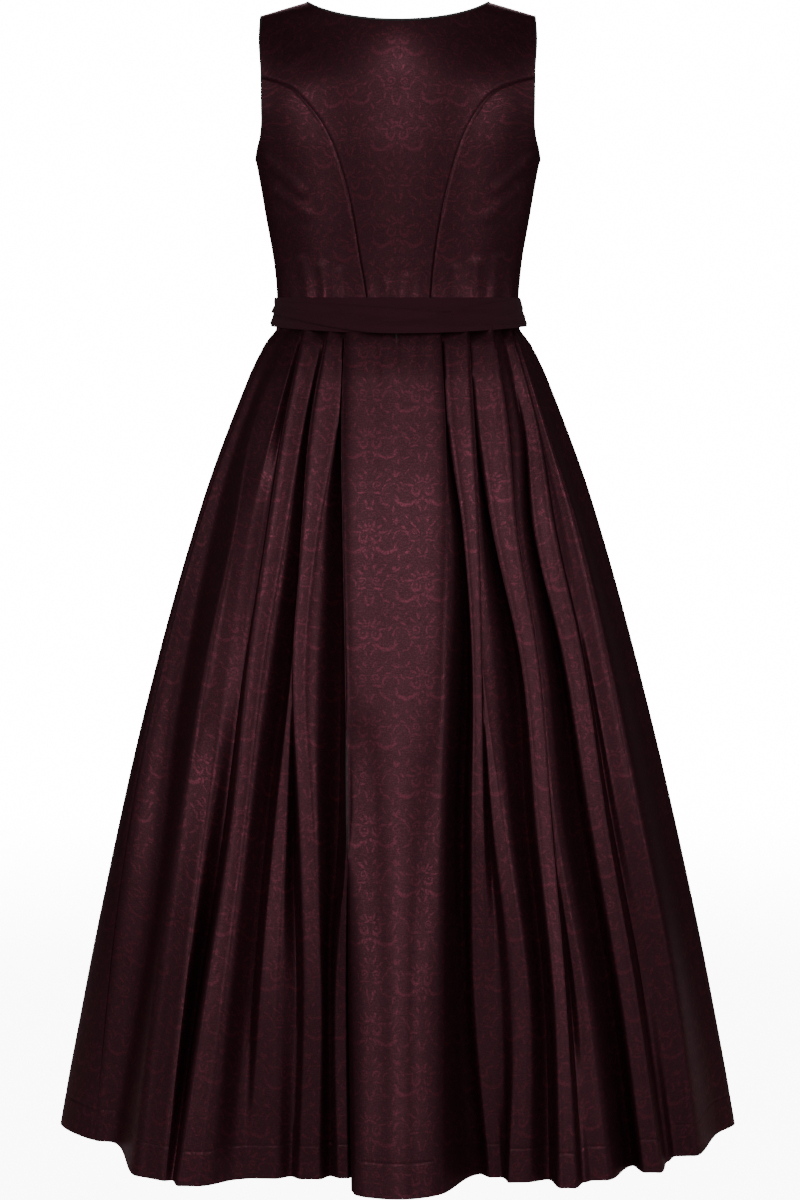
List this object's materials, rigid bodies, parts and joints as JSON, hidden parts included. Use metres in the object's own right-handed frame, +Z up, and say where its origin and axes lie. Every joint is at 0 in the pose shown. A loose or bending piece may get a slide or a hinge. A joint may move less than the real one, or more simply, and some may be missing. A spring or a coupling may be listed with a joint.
{
  "type": "dirndl dress",
  "caption": "Sleeveless ankle-length folk dress with fitted panelled bodice, wound waist sash and full pleated skirt, hollow as worn.",
  "frame": {"origin": "midway between the two shoulder straps, at the height where the wearer's shoulders carry them, in the plane of the side seams", "axes": "+Z up; the back of the dress faces -Y, the front +Y; +X is to the right in the back view"},
  "size_m": [0.81, 0.6761, 1.3305],
  "materials": {
    "satin": "wine red satin with a tone on tone jacquard of paired scrolls and sprigs",
    "sash": "plain soft matte cloth, dull wine red",
    "piping": "charcoal cord with a fine silver grey thread line",
    "button": "dark horn, polished"
  },
  "bodies": {
    "root": {"bodice_back_centre": "satin", "bodice_back_side_left": "satin", "bodice_back_side_right": "satin", "bodice_front_centre_left": "satin", "bodice_front_centre_right": "satin", "bodice_front_side_left": "satin", "bodice_front_side_right": "satin", "front_placket": "satin", "button_1": "button", "button_2": "button", "button_3": "button", "button_4": "button", "button_5": "button", "button_6": "button", "neck_piping": "piping", "armhole_piping_left": "piping", "armhole_piping_right": "piping", "skirt_back": "satin", "skirt_front": "satin", "sash_band": "sash", "sash_knot": "sash", "sash_end_left": "sash", "sash_end_right": "sash"}
  },
  "joints": []
}
